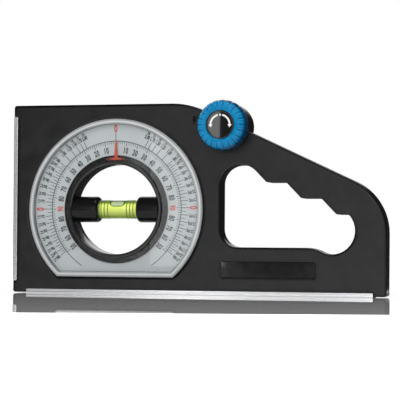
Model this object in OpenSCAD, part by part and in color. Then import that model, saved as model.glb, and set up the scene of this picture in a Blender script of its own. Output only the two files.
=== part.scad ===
// Inclinometer: a geared vial ring in a dial, between two shells with a hand hole, on metal rails.
// X runs along the base, Y from the dial side to the back, Z up. The origin is the middle of the base.
// Sketches are seen from the front, x along the base and y up. A depth d counts from the front face of
// the shells towards the back, so what stands proud of that face has a negative depth.

/* [Body] */
// Length from the side rail's outer face to the nose
body_w = 220; // [216:1:236]
// Height from the bottom rail's outer face to the top edge
body_h = 109.6; // [107:0.2:116]
// Thickness of the two shells together
body_d = 13; // [12.6:0.1:15]
// Thickness of the front shell
front_d = 6.5; // [6.2:0.1:7.2]
// Thickness of the shells' walls
wall = 2.2; // [1.8:0.1:2.5]
// Where the slanting back would meet the top edge, from the side rail's outer face
slant_x = 106.5; // [103:0.5:110]
// Fall of the slanting back below the level
slant_angle = 25.2; // [23:0.2:27]
// Bend between the top edge and the slanting back
top_bend = 46; // [30:1:60]
// Bend of the nose
nose_bend = 32.2; // [20:0.2:34]
// Bend of the other corners
corner_bend = 1.5; // [0.5:0.1:1.8]

/* [Feet and rails] */
// Length of the left foot along the base
foot_w = 8.4; // [7.6:0.1:10]
// Height of the left foot
foot_h = 7.2; // [6.8:0.1:9]
// Length of the right foot along the base
toe_w = 7.5; // [6:0.1:10]
// Height of the ear above the side rail
ear_h = 6.6; // [5:0.1:9]
// Thickness of a rail
rail_t = 2.5; // [2.2:0.1:2.8]
// How far a rail stands proud of the feet and the ear
rail_proud = 0.4; // [0.2:0.1:0.8]
// Thickness of the rail's web between the shells
web_t = 3; // [2:0.1:4]
// Width of the rail's inner foot
rail_foot_w = 5.4; // [5:0.1:7]
// Thickness of the rail's inner foot
rail_foot_t = 1.1; // [0.8:0.1:1.3]

/* [Hand hole] */
// Left wall of the hand hole, from the side rail's outer face
hole_x = 124.8; // [124:0.2:127]
// Height of its floor above the base
hole_y = 27.4; // [26:0.2:28.6]
// Height of the hole
hole_h = 46.8; // [45:0.2:48]
// Bend of its lower left corner
hole_low_bend = 10.5; // [6:0.5:12]
// Bend of its upper left corner
hole_top_bend = 11; // [6:0.5:12]
// Bend where its top turns down to the steps
hole_peak_bend = 11.5; // [6:0.5:13]
// First step, from the hole's left wall
step_in = 27.1; // [25:0.1:29]
// First step, below the hole's top
step_down = 10; // [9:0.1:11]
// Run from one step to the next
step_run = 20; // [19:0.1:21]
// Fall from one step to the next
step_fall = 9.05; // [8.6:0.05:9.4]
// Length of the level part of a step
step_flat = 11.3; // [10:0.1:12]
// Bend of the steps' corners
step_bend = 2.4; // [0.5:0.1:3]
// Radius of the hole's round end
end_r = 13.2; // [12.6:0.1:13.6]
// Height of the round end's middle above the base
end_y = 37.05; // [36.8:0.05:37.6]
// Wall between the round end and the nose
end_wall = 17.7; // [15:0.1:18.4]
// Bend where the floor dips to the round end
dip_bend = 17; // [14:0.5:20]

/* [Dial] */
// Dial axis, from the side rail's outer face
dial_x = 62.4; // [61:0.2:63]
// Dial axis above the base
dial_y = 48.9; // [48.4:0.1:50]
// Radius of the dial cover
cover_r = 52.4; // [50:0.2:53]
// From the dial axis down to the cover's flat edge
cover_flat = 39.1; // [37:0.1:39.4]
// Thickness of the cover
cover_t = 1.5; // [1.2:0.1:1.7]
// How far the cover stands proud of the body
cover_proud = 0.5; // [0.3:0.1:0.8]
// Width of the rim that the cover rests on
cover_rim_w = 3.1; // [2:0.1:4]
// Width of that rim along the flat edge
cover_rim_low = 2.5; // [1.5:0.1:3]
// Height of that rim
cover_rim_h = 1.6; // [1.5:0.1:1.8]
// Thickness of the dial plate
dial_t = 0.8; // [0.6:0.1:1]
// Thickness of the floor that carries the dial plate
floor_t = 1.6; // [1.2:0.1:1.8]

/* [Vial ring] */
// Inner radius of the ring
bore_r = 26; // [25.2:0.1:26.6]
// Wall of the ring
ring_wall = 2.2; // [1.8:0.1:2.4]
// How far the ring stands proud of the front
ring_front = 1.5; // [1:0.1:2]
// How far the ring stands proud of the back
ring_rear = 0.7; // [0.4:0.1:1.2]
// Chamfer at the ring's inner edges
ring_chamfer = 0.7; // [0.3:0.1:1]
// How far the flange reaches out from the ring
flange_out = 3.1; // [2.4:0.1:4]
// Thickness of the flange
flange_t = 0.6; // [0.4:0.1:0.8]
// How far the rear ring's collar reaches out
collar_out = 4.8; // [4.4:0.1:6]
// How many screws the collar has
collar_screw_n = 4; // [3:1:8]
// Radius of a collar screw
collar_screw_r = 0.8; // [0.6:0.1:1]
// Radius of its head
collar_head_r = 1.45; // [1.2:0.05:1.7]
// Height of its head
collar_head_t = 1; // [0.6:0.1:1.2]
// Length of a collar screw below its head
collar_screw_l = 3; // [2:0.1:3.6]

/* [Pointer] */
// Radius that the pointer's tip reaches
pointer_r = 39.8; // [36:0.1:42]
// Width of the pointer at its foot
pointer_w = 2.2; // [1.5:0.1:3]
// Width of the pointer at its tip
tip_w = 0.8; // [0.4:0.1:1.2]
// Thickness of the pointer
pointer_t = 0.4; // [0.2:0.1:0.5]
// Half of the angle that the pointer's foot spans
pointer_foot = 11.5; // [8:0.5:25]
// Width of the pointer's foot
pointer_foot_w = 1.5; // [1:0.1:2]

/* [Vial] */
// Radius of the end caps
cap_r = 7.5; // [7.4:0.05:7.55]
// Glass that shows between the caps
window_w = 23; // [20:0.2:28]
// Middle of that glass, to the right of the ring's middle
vial_off = 1; // [0:0.1:1.5]
// Chamfer of the caps
cap_chamfer = 1.9; // [1:0.1:1.95]
// Outer radius of the glass tube
tube_r = 5.45; // [5.2:0.05:5.5]
// Wall of the glass tube
tube_wall = 0.75; // [0.5:0.05:0.9]
// How far the tube goes into a cap
tube_in = 8; // [5:0.5:10]
// Thickness of the plug in the tube's end
plug_t = 2; // [1:0.5:3]
// Radius of the bubble
bubble_r = 1.75; // [1.4:0.05:1.8]
// Length of the bubble
bubble_l = 10; // [6:0.2:10.6]
// How far the bubble runs to each side
bubble_run = 6; // [4:0.5:8]

/* [Gears] */
// Module of the gears
gear_m = 1; // [0.98:0.005:1.01]
// Teeth of the ring gear
ring_teeth = 80; // [78:2:82]
// Teeth of the idler, an even number
idler_teeth = 32; // [30:2:34]
// Teeth of the knob's pinion
pinion_teeth = 18; // [17:1:19]
// Width of the gears
gear_w = 3; // [2.4:0.1:3.4]
// Play between the teeth, along the pitch circle
backlash = 0.24; // [0.16:0.02:0.4]
// Direction from the dial axis to the knob
knob_angle = 35.7; // [34:0.1:37]
// Radius of the idler's pin
pin_r = 1.5; // [1:0.1:2]
// How far the pin goes into each shell's boss
pin_in = 2.2; // [1.5:0.1:2.6]

/* [Knob] */
// Radius of the lobe of the body behind the knob
lobe_r = 13.6; // [13:0.1:15]
// Radius of the knob at its widest
grip_r = 14.6; // [13.5:0.1:16]
// Radius of the knob at its base
grip_base_r = 11.5; // [10.5:0.1:12.5]
// Radius of the knob's crest
crest_r = 10.9; // [10:0.1:11.5]
// How far the crest stands in front of the body
crest_d = 15.3; // [14.5:0.1:16.5]
// Where the knob is widest, in front of the body
waist_d = 7.5; // [6:0.1:9]
// Flutes around the knob
flutes = 22; // [16:1:26]
// Radius of a flute
flute_r = 1.1; // [0.7:0.1:1.3]
// Radius of the disc in the knob's face
disc_r = 8; // [7:0.1:8.6]
// Thickness of that disc
disc_t = 1.5; // [1:0.1:1.8]
// How deep the disc lies below the crest
disc_down = 0.8; // [0.4:0.1:1.2]
// Radius of the knob's shaft
shaft_r = 3; // [2.5:0.1:3.4]
// Depth of the flat on the shaft
shaft_flat = 0.6; // [0.4:0.1:0.9]
// Radius of the shaft's tail in the rear shell
tail_r = 2.2; // [1.6:0.1:2.4]
// Radius of the shaft's shoulder behind the pinion
shoulder_r = 4.2; // [3.8:0.1:5]
// Thickness of the shoulder
shoulder_t = 0.8; // [0.5:0.1:1]
// Thickness of the friction washer
washer_t = 0.5; // [0.3:0.1:0.7]
// Radius of the friction washer
washer_r = 5; // [4.5:0.1:6]
// Radius of the knob screw
knob_screw_r = 1.5; // [1:0.1:1.7]
// Length of the knob screw below its head
knob_screw_l = 8; // [5:0.5:9]
// Radius of the knob screw's head
knob_head_r = 2.8; // [2.2:0.1:3.2]
// Height of the knob screw's head
knob_head_t = 1.4; // [1:0.1:2]
// Plastic of the knob under the screw's head
knob_web = 1.5; // [1:0.1:2.5]

/* [Shell screws] */
// Radius of a shell screw
screw_r = 1.2; // [0.9:0.1:1.4]
// Radius of its head
head_r = 2.3; // [1.9:0.1:2.5]
// Height of its head
head_t = 1.4; // [1:0.1:1.6]
// Radius of a screw boss
boss_r = 3; // [2.7:0.1:3.1]
// Plastic left in front of the screws
screw_stop = 2.6; // [1.2:0.1:3]
// Screws beside the side rail, from its outer face
screw_x = 10.5; // [10:0.1:12]
// Screws above the base
screw_y = 10; // [9.4:0.1:11]
// Screw under the top edge, from where the slanting back would meet that edge
top_screw_in = 8.5; // [7:0.5:12]
// The same screw, below the top edge
top_screw_down = 8.6; // [7.5:0.1:9.5]
// Screw beside the hand hole, from the hole's left wall
low_screw_in = 6.8; // [6:0.1:7.4]
// The same screw, above the base
low_screw_y = 12; // [10:0.5:16]
// Screw in the right foot, from the nose
toe_screw_in = 8; // [6:0.5:12]
// Screw in the nose, from the hand hole's round end
nose_screw_out = 10.8; // [9:0.1:12]
// Direction from the round end's middle to that screw
nose_screw_angle = 57; // [50:1:64]
// Screw over the first step, above it
step_screw_up = 8.8; // [8:0.1:9.6]
// The same screw, from the step's outer corner
step_screw_in = 1.2; // [0:0.1:3]

/* [Small details] */
// Length of the nameplate recess
plate_w = 54; // [48:1:58]
// Height of the nameplate recess
plate_h = 9.2; // [8:0.1:10]
// Depth of the nameplate recess
plate_d = 0.8; // [0.5:0.1:1]
// Thickness of the nameplate
plate_t = 0.6; // [0.3:0.1:0.7]
// From the base to the recess
plate_y = 10.2; // [10:0.1:12]
// From the hand hole's left wall on to the recess
plate_in = 0.6; // [0:0.1:3]
// Index slot beside the knob, from the knob's axis
slot_out = 19.4; // [17:0.1:21]
// Foot of the index slot, above the knob's axis
slot_up = 2.6; // [0:0.1:4]
// Length of the index slot
slot_l = 3.5; // [2:0.1:4]
// Width of the index slot
slot_w = 0.8; // [0.5:0.1:1.2]
// Depth of the index slot
slot_d = 1.2; // [0.6:0.1:1.4]

/* [Clearances] */
// Radial play of what turns
run_gap = 0.06; // [0.03:0.01:0.09]
// Play at the sides of what turns
side_gap = 0.2; // [0.15:0.05:0.3]
// Play around what is set in place
set_gap = 0.15; // [0.1:0.05:0.2]
// Play of a round piece seated in another
seat_gap = 0.03; // [0.02:0.01:0.05]
// Play between the ring and the cover and dial plate
rim_gap = 0.3; // [0.2:0.05:0.4]
// Play of the bubble in its channel
bubble_gap = 0.1; // [0.06:0.02:0.14]

/* [Hidden] */
$fn = 96;
past = 1;              // how far a cut runs past the face it opens
arc_step = 5;          // angle between the points of a bend
pressure_angle = 20;
tooth_out = 0.95;      // height of a tooth above the pitch circle, in modules
tooth_in = 1.2;        // depth of a gap below the pitch circle, in modules
flank_steps = 4;       // stretches along a tooth's flank

// Depths, in their order behind the body's front face
cover_back = cover_t - cover_proud;
dial_face = cover_back + cover_rim_h;
dial_back = dial_face + dial_t;
floor_back = dial_back + floor_t;
flange_back = dial_face - side_gap;
flange_face = flange_back - flange_t;
gear_face = floor_back + side_gap;
gear_back = gear_face + gear_w;
rear_floor = body_d - wall;
tail_end = body_d - wall / 2;
washer_face = gear_face - run_gap - washer_t;
collar_back = rear_floor - side_gap;
ring_end = body_d + ring_rear;
vial_d = (ring_end - ring_front) / 2;
face_y = (crest_d - ring_end) / 2;

// Places in the sketch
left = -body_w / 2;
right = body_w / 2;
dial_at = [left + dial_x, dial_y];
idler_at = dial_at + gear_m * (ring_teeth + idler_teeth) / 2 * [cos(knob_angle), sin(knob_angle)];
knob_at = idler_at + gear_m * (idler_teeth + pinion_teeth) / 2 * [cos(knob_angle), sin(knob_angle)];
seat_x = left + rail_t;
seat_y = rail_t;
foot_x = left + rail_proud;
foot_y = rail_proud;
hole_left = left + hole_x;
hole_top = hole_y + hole_h;
end_at = [right - end_wall - end_r, end_y];
ring_r = bore_r + ring_wall;
collar_screw_at = ring_r + collar_out / 2;
tube_l = window_w + 2 * tube_in;
bubble_up = tube_r - tube_wall - bubble_r - 3 * bubble_gap;
disc_face_d = crest_d - disc_down;
disc_back_d = disc_face_d - disc_t;
knob_floor_d = disc_back_d - knob_head_t - side_gap;
shaft_top_d = knob_floor_d - knob_web;

// The outline of the shells: sharp corners, and the bend of each
function body_corners(x, y) = [
    [x, y],
    [right, y],
    [right, body_h - (right - left - slant_x) * tan(slant_angle)],
    [left + slant_x, body_h],
    [x, body_h]];
body_bends = [corner_bend, corner_bend, nose_bend, top_bend, corner_bend];

// The outline of the hand hole, without its round end
riser = [step_run - step_flat, -step_fall];
step_at = [for (k = [0:2]) [hole_left + step_in + k * step_run, hole_top - step_down - k * step_fall]];
dip_mid = [end_at[0] - sqrt(pow(end_r + dip_bend, 2) - pow(end_y - hole_y + dip_bend, 2)), hole_y - dip_bend];
dip_turn = atan2(end_at[0] - dip_mid[0], end_at[1] - dip_mid[1]);
short = 0.2;           // keeps the dip's bend clear of the point where it meets the round end
tip_up = step_at[2][1] - step_bend - end_y;
tip_mid = end_at + [sqrt(pow(end_r - step_bend, 2) - pow(tip_up, 2)), tip_up];
hole_corners = [
    [hole_left, hole_y],
    [dip_mid[0] + dip_bend * tan(dip_turn / 2), hole_y],
    dip_mid + dip_bend * [sin(dip_turn), cos(dip_turn)],
    end_at,
    [tip_mid[0] + step_bend, tip_mid[1]],
    [tip_mid[0] + step_bend, step_at[2][1]],
    step_at[2],
    step_at[1] + [step_flat, 0],
    step_at[1],
    step_at[0] + [step_flat, 0],
    step_at[0],
    step_at[0] - riser * step_down / step_fall,
    [hole_left, hole_top]];
hole_bends = [hole_low_bend, dip_bend - short, 0, 0, 0, step_bend, step_bend, step_bend, step_bend, step_bend,
    step_bend, hole_peak_bend, hole_top_bend];

// Middles of the screw bosses, each from the edge or the opening beside it
screw_at = [
    [left + screw_x, screw_y],
    [left + screw_x, body_h - ear_h],
    [left + slant_x - top_screw_in, body_h - top_screw_down],
    [hole_left - low_screw_in, low_screw_y],
    [right - toe_screw_in, screw_y],
    end_at + (end_r + nose_screw_out) * [cos(nose_screw_angle), sin(nose_screw_angle)],
    step_at[0] + [step_flat - step_screw_in, step_screw_up]];

function unit(v) = v / norm(v);

// The normal on the right-hand side of the way from a to b
function outward(a, b) = let (e = unit(b - a)) [e[1], -e[0]];

function before(list, i) = list[(i + len(list) - 1) % len(list)];
function after(list, i) = list[(i + 1) % len(list)];
function turn_sign(list, i) = sign(cross(list[i] - before(list, i), after(list, i) - list[i]));

// Corners of an outline that runs anticlockwise, with each edge moved out by w
function moved(corners, w) = [for (i = [0:len(corners) - 1])
    let (n = outward(before(corners, i), corners[i]), m = outward(corners[i], after(corners, i)))
    corners[i] + w * (n + m) / (1 + n * m)];
function moved_bends(corners, bends, w) = [for (i = [0:len(corners) - 1])
    bends[i] <= 0 ? 0 : max(0, bends[i] + w * turn_sign(corners, i))];

// Points of the bend of radius r at a corner
function bend(a, at, b, r) = r <= 0 ? [at] :
    let (u = unit(a - at), v = unit(b - at), half = acos(u * v) / 2,
        mid = at + unit(u + v) * r / sin(half),
        start = at + u * r / tan(half) - mid,
        from = atan2(start[1], start[0]),
        sweep = (180 - 2 * half) * sign(cross(at - a, b - at)),
        steps = max(2, ceil(abs(sweep) / arc_step)))
    [for (k = [0:steps]) mid + r * [cos(from + sweep * k / steps), sin(from + sweep * k / steps)]];
function rounded(corners, bends) = [for (i = [0:len(corners) - 1])
    each bend(before(corners, i), corners[i], after(corners, i), bends[i])];

// Half of a tooth's angle at radius r, on a gear with z teeth
function involute(angle) = tan(angle) * 180 / PI - angle;
function half_tooth(z, r) =
    let (pitch = gear_m * z / 2, base = pitch * cos(pressure_angle))
    90 / z - backlash / 4 / pitch * 180 / PI + involute(pressure_angle) - involute(acos(min(1, base / r)));

// Stands a sketch up, with depth running towards the back
module upright() { translate([0, face_y, 0]) rotate([90, 0, 0]) children(); }

// A plate of the sketch from depth d0 to depth d1
module slab(d0, d1) { translate([0, 0, -d1]) linear_extrude(d1 - d0) children(); }

// A round bar along the depth
module rod(at, r, d0, d1) { translate([at[0], at[1], -d1]) cylinder(r = r, h = d1 - d0); }

module outline(corners, bends, out = 0) {
    polygon(rounded(moved(corners, out), moved_bends(corners, bends, out)));
}

// The hand hole, with its last step run into the round end
module hand_hole(out = 0) {
    meet_up = tip_up * (end_r + out) / (end_r - step_bend);
    outline(hole_corners, hole_bends, out);
    translate(end_at) intersection() {
        circle(r = end_r + out);
        translate([-body_w, meet_up - body_w]) square([2 * body_w, body_w]);
    }
}

// The shells seen from the front, with their feet and the hand hole
module shell_plan() {
    difference() {
        union() {
            outline(body_corners(foot_x, foot_y), body_bends);
            translate(knob_at) circle(r = lobe_r);
        }
        translate([foot_x - past, foot_h]) square([seat_x - foot_x + past, body_h - ear_h - foot_h]);
        translate([left + foot_w, foot_y - past]) square([body_w - foot_w - toe_w, seat_y - foot_y + past]);
        hand_hole();
    }
}

// The space between the walls of the shells
module cavity_plan() {
    difference() {
        union() {
            outline(body_corners(seat_x, seat_y), body_bends, -wall);
            translate(knob_at) circle(r = lobe_r - wall);
        }
        hand_hole(wall);
    }
}

// The rails' webs pass through the walls in these slots
module web_slots() {
    half = web_t / 2 + set_gap;
    slab(front_d - half, front_d + half) {
        translate([left + foot_w, seat_y - past]) square([body_w - foot_w - toe_w, wall + past + set_gap]);
        translate([seat_x - past, foot_h]) square([wall + past + set_gap, body_h - ear_h - foot_h]);
    }
}

// The dial's outline: a disc with a flat lower edge
module dial_plan(r, flat) {
    translate(dial_at) intersection() {
        circle(r = r);
        translate([-r, -flat]) square(2 * r);
    }
}

module front_shell() {
    color([0.15, 0.15, 0.16]) upright() difference() {
        union() {
            difference() {
                slab(0, front_d) shell_plan();
                slab(wall, front_d + past) cavity_plan();
            }
            slab(wall / 2, floor_back) dial_plan(cover_r + set_gap + wall, cover_flat + set_gap + wall);
            for (at = screw_at) rod(at, boss_r, wall / 2, front_d);
            rod(idler_at, pin_r + wall, wall / 2, floor_back);
            rod(knob_at, washer_r, wall / 2, washer_face);
        }
        slab(-past, dial_back) dial_plan(cover_r + set_gap, cover_flat + set_gap);
        rod(dial_at, ring_r + run_gap, -past, front_d);
        for (at = screw_at) rod(at, screw_r + seat_gap, screw_stop, front_d + past);
        rod(idler_at, pin_r + seat_gap, floor_back - pin_in, front_d);
        rod(knob_at, shaft_r + run_gap, -past, front_d);
        web_slots();
        slab(-past, plate_d) translate([hole_left + plate_in, plate_y]) square([plate_w, plate_h]);
        slab(-past, slot_d) translate(knob_at + [-slot_out, slot_up]) square([slot_w, slot_l]);
    }
}

module rear_shell() {
    color([0.14, 0.14, 0.15]) upright() difference() {
        union() {
            difference() {
                slab(front_d, body_d) shell_plan();
                slab(front_d - past, rear_floor) cavity_plan();
            }
            for (at = screw_at) rod(at, boss_r, front_d, rear_floor + wall / 2);
            rod(idler_at, pin_r + wall, gear_back + side_gap, rear_floor + wall / 2);
            rod(knob_at, tail_r + wall, gear_back + shoulder_t + side_gap, rear_floor + wall / 2);
        }
        rod(dial_at, ring_r + run_gap, front_d - past, body_d + past);
        for (at = screw_at) {
            rod(at, screw_r + set_gap, front_d - past, body_d + past);
            rod(at, head_r + set_gap, body_d - head_t - set_gap, body_d + past);
        }
        rod(idler_at, pin_r + seat_gap, front_d, gear_back + side_gap + pin_in);
        rod(knob_at, tail_r + run_gap, front_d, tail_end + side_gap);
        web_slots();
    }
}

// A rail's section, with the outer face at x = 0 and the depth along y
module rail_section() {
    square([rail_t, body_d]);
    translate([rail_t - past / 2, front_d - web_t / 2]) square([past / 2 + wall + set_gap, web_t]);
    translate([rail_t + wall + set_gap, front_d - rail_foot_w / 2]) square([rail_foot_t, rail_foot_w]);
}

module bottom_rail() {
    color([0.78, 0.79, 0.8]) translate([left + foot_w + set_gap, face_y, 0])
        rotate([0, -90, 180]) mirror([0, 1, 0])
        linear_extrude(body_w - foot_w - toe_w - 2 * set_gap) rail_section();
}

module side_rail() {
    color([0.78, 0.79, 0.8]) translate([left, face_y, foot_h + set_gap])
        linear_extrude(body_h - ear_h - foot_h - 2 * set_gap) rail_section();
}

// A screw along the depth, with its head at the back and a cross in the head
module screw(r, head, head_h, length, head_back) {
    difference() {
        union() {
            rod([0, 0], head, head_back - head_h, head_back);
            rod([0, 0], r, head_back - head_h - length, head_back - head_h);
        }
        for (a = [0, 90]) rotate(a)
            slab(head_back - head_h / 2, head_back + past) square([head * 1.2, head * 0.25], center = true);
    }
}

module shell_screws() {
    head_back = body_d - set_gap;
    color([0.55, 0.56, 0.58]) upright() for (at = screw_at) translate(at)
        screw(screw_r, head_r, head_t, head_back - head_t - screw_stop - set_gap, head_back);
}

module dial_plate() {
    color([0.8, 0.81, 0.82]) upright() difference() {
        slab(dial_face, dial_back) dial_plan(cover_r, cover_flat);
        rod(dial_at, ring_r + rim_gap, dial_face - past, dial_back + past);
    }
}

module dial_cover() {
    color([0.85, 0.88, 0.9, 0.35]) upright() difference() {
        slab(-cover_proud, dial_face) dial_plan(cover_r, cover_flat);
        slab(cover_back, dial_face + past) dial_plan(cover_r - cover_rim_w, cover_flat - cover_rim_low);
        rod(dial_at, ring_r + rim_gap, -cover_proud - past, dial_face + past);
    }
}

module nameplate() {
    color([0.05, 0.05, 0.06]) upright() slab(plate_d - plate_t, plate_d)
        translate([hole_left + plate_in + set_gap, plate_y + set_gap])
        square([plate_w - 2 * set_gap, plate_h - 2 * set_gap]);
}

module idler_pin() {
    color([0.7, 0.71, 0.73]) upright()
        rod(idler_at, pin_r, floor_back - pin_in + seat_gap, gear_back + side_gap + pin_in - seat_gap);
}

module friction_washer() {
    color([0.7, 0.62, 0.4]) upright() difference() {
        rod(knob_at, washer_r, washer_face, washer_face + washer_t);
        rod(knob_at, shaft_r + set_gap, 0, gear_back);
    }
}

// The ring's plain barrel
module barrel(d0, d1) {
    difference() {
        rod(dial_at, ring_r, d0, d1);
        rod(dial_at, bore_r, d0 - past, d1 + past);
    }
}

// The cone that chamfers the ring's inner edge, widening from the depth d0 to the depth d1
module edge_cone(d0, d1) {
    translate([dial_at[0], dial_at[1], -max(d0, d1)])
        cylinder(h = abs(d1 - d0), r1 = d1 > d0 ? bore_r + ring_chamfer : bore_r,
            r2 = d1 > d0 ? bore_r : bore_r + ring_chamfer);
}

module vial_ring() {
    color([0.12, 0.12, 0.13]) upright() difference() {
        union() {
            barrel(-ring_front, gear_back);
            rod(dial_at, ring_r + flange_out, flange_face, flange_back);
        }
        rod(dial_at, bore_r, -past, gear_back);
        edge_cone(ring_chamfer - ring_front, -ring_front);
    }
}

// The collar's screws, in the middle of its width
module around_collar() {
    for (k = [0:collar_screw_n - 1]) translate(dial_at) rotate(45 + k * 360 / collar_screw_n)
        translate([collar_screw_at, 0]) children();
}

module rear_ring() {
    color([0.16, 0.16, 0.17]) upright() difference() {
        union() {
            barrel(gear_back, ring_end);
            rod(dial_at, ring_r + collar_out, gear_back, collar_back);
        }
        rod(dial_at, bore_r, gear_back - past, ring_end);
        edge_cone(ring_end - ring_chamfer, ring_end);
        around_collar() {
            rod([0, 0], collar_screw_r + seat_gap, gear_back - past, body_d);
            rod([0, 0], collar_head_r + set_gap, collar_back - collar_head_t - set_gap, body_d);
        }
    }
}

module collar_screws() {
    head_back = collar_back - set_gap;
    color([0.6, 0.6, 0.62]) upright() around_collar()
        screw(collar_screw_r, collar_head_r, collar_head_t, collar_screw_l, head_back);
}

// A spur gear with z teeth, a tooth at the angle given, and a bore
module gear(at, z, tooth_angle, hole) {
    pitch = gear_m * z / 2;
    root = pitch - tooth_in * gear_m;
    low = max(root, pitch * cos(pressure_angle));
    tip = pitch + tooth_out * gear_m;
    radii = [root, for (k = [0:flank_steps]) low + (tip - low) * k / flank_steps];
    flank = [for (k = [low > root ? 0 : 1:flank_steps + 1]) [radii[k], half_tooth(z, max(low, radii[k]))]];
    color([0.86, 0.85, 0.8]) upright() difference() {
        slab(gear_face, gear_back) translate(at) polygon([for (k = [0:z - 1])
            let (mid = tooth_angle + k * 360 / z)
            each concat(
                [for (p = flank) p[0] * [cos(mid - p[1]), sin(mid - p[1])]],
                [for (i = [len(flank) - 1:-1:0]) let (p = flank[i])
                    p[0] * [cos(mid + p[1]), sin(mid + p[1])]])]);
        rod(at, hole, gear_face - past, gear_back + past);
    }
}

module ring_gear() {
    difference() {
        gear(dial_at, ring_teeth, knob_angle, ring_r + seat_gap);
        upright() around_collar() rod([0, 0], collar_screw_r + seat_gap, gear_face, gear_back + past);
    }
}

// A tooth of the ring gear points at the idler, so the idler has a gap there, and another towards the pinion
module idler_gear() { gear(idler_at, idler_teeth, knob_angle + 180 / idler_teeth, pin_r + run_gap); }
module knob_pinion() { gear(knob_at, pinion_teeth, knob_angle + 180, shaft_r + seat_gap); }

// The pointer's foot lies on the ring's flange, and its blade reaches over the dial
module pointer() {
    half_foot = pointer_w / 2;
    foot_r = ring_r + rim_gap;
    color([0.8, 0.24, 0.16]) upright() translate(dial_at) slab(flange_face - pointer_t, flange_face) {
        polygon([for (s = [1, -1], k = [0:8])
            let (a = 90 + s * pointer_foot * (1 - k / 4), r = foot_r + (s > 0 ? 0 : pointer_foot_w))
            r * [cos(a), sin(a)]]);
        polygon([[-half_foot, foot_r + pointer_foot_w / 2], [half_foot, foot_r + pointer_foot_w / 2],
            [tip_w / 2, pointer_r], [-tip_w / 2, pointer_r]]);
    }
}

// Lays a piece along the vial's axis, with the middle of the glass at 0, or the ring's middle for off = 0
module along_vial(off = vial_off) {
    translate([dial_at[0] + off, dial_at[1], -vial_d]) rotate([0, 90, 0]) children();
}

// An end cap, drawn on the right from the place where it starts: a chamfered bar to the ring's wall
module vial_cap(inner) {
    color([0.03, 0.03, 0.03]) upright() difference() {
        intersection() {
            along_vial(0) union() {
                translate([0, 0, inner]) cylinder(h = cap_chamfer, r1 = cap_r - cap_chamfer, r2 = cap_r);
                translate([0, 0, inner + cap_chamfer]) cylinder(h = bore_r - inner - cap_chamfer, r = cap_r);
            }
            rod(dial_at, bore_r - seat_gap, -ring_front, ring_end);
        }
        along_vial(0) cylinder(h = inner + tube_in + seat_gap, r = tube_r + seat_gap);
    }
}

module right_cap() { vial_cap(window_w / 2 + vial_off); }
module left_cap() { translate([2 * dial_at[0], 0, 0]) mirror([1, 0, 0]) vial_cap(window_w / 2 - vial_off); }

module vial_tube() {
    color([0.8, 0.9, 0.7, 0.4]) upright() along_vial() difference() {
        cylinder(h = tube_l, r = tube_r, center = true);
        cylinder(h = tube_l + past, r = tube_r - tube_wall, center = true);
    }
}

module vial_plugs() {
    color([0.85, 0.85, 0.8]) upright() along_vial() for (s = [-1, 1])
        translate([0, 0, s * (tube_l - plug_t) / 2])
        cylinder(h = plug_t, r = tube_r - tube_wall - seat_gap, center = true);
}

// A bar with round ends along the vial's axis, at the top of the tube
module capsule(r, length) {
    straight = length / 2 - r;
    along_vial() translate([0, bubble_up, 0]) rotate_extrude() polygon(concat(
        [for (a = [0:7.5:90]) [r * cos(90 - a), -straight - r * sin(90 - a)]],
        [for (a = [0:7.5:90]) [r * cos(a), straight + r * sin(a)]]));
}

module vial_liquid() {
    color([0.85, 0.95, 0.25, 0.7]) upright() difference() {
        along_vial() cylinder(h = tube_l - 2 * plug_t - 2 * seat_gap, r = tube_r - tube_wall - seat_gap,
            center = true);
        capsule(bubble_r + bubble_gap, bubble_l + 2 * (bubble_run + 2 * bubble_gap));
    }
}

module bubble() { color([0.9, 1, 0.6, 0.3]) upright() capsule(bubble_r, bubble_l); }

// A quarter of an ellipse about a middle, from the angle a0 on
function quarter(mid, rx, ry, a0) = [for (a = [a0:9:a0 + 90]) mid + [rx * cos(a), ry * sin(a)]];

// Half of the knob's section, with the distance in front of the body along y
module grip_section() {
    polygon(concat(
        [[0, side_gap]],
        quarter([grip_base_r, waist_d], grip_r - grip_base_r, waist_d - side_gap, -90),
        quarter([crest_r, waist_d], grip_r - crest_r, crest_d - waist_d, 0),
        quarter([crest_r, disc_face_d], crest_r - disc_r - set_gap, disc_down, 90),
        [[disc_r + set_gap, disc_back_d], [0, disc_back_d]]));
}

// The shaft's upper end has a flat, and so has the bore of the knob
module drive_end(gap, d0, d1) {
    translate([knob_at[0], knob_at[1], d0]) intersection() {
        cylinder(r = shaft_r + gap, h = d1 - d0);
        translate([-shaft_r - past, -shaft_r - past, 0])
            cube([2 * shaft_r + past - shaft_flat + gap, 2 * shaft_r + 2 * past, d1 - d0]);
    }
}

module knob_grip() {
    color([0.02, 0.45, 0.72]) upright() difference() {
        translate(knob_at) rotate_extrude() grip_section();
        for (k = [0:flutes - 1]) translate(knob_at) rotate(k * 360 / flutes) translate([grip_r + 0.4, 0, 0])
            cylinder(r = flute_r, h = crest_d + past, $fn = 24);
        drive_end(seat_gap, 0, shaft_top_d + side_gap);
        rod(knob_at, knob_screw_r + set_gap, -disc_back_d - past, 0);
        rod(knob_at, knob_head_r + set_gap, -disc_back_d - past, -knob_floor_d);
    }
}

module knob_disc() {
    color([0.04, 0.04, 0.05]) upright() rod(knob_at, disc_r, -disc_face_d, -disc_back_d);
}

module knob_screw() {
    color([0.6, 0.6, 0.62]) upright() translate([knob_at[0], knob_at[1], 0]) mirror([0, 0, 1])
        screw(knob_screw_r, knob_head_r, knob_head_t, knob_screw_l, knob_floor_d + knob_head_t);
}

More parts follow.
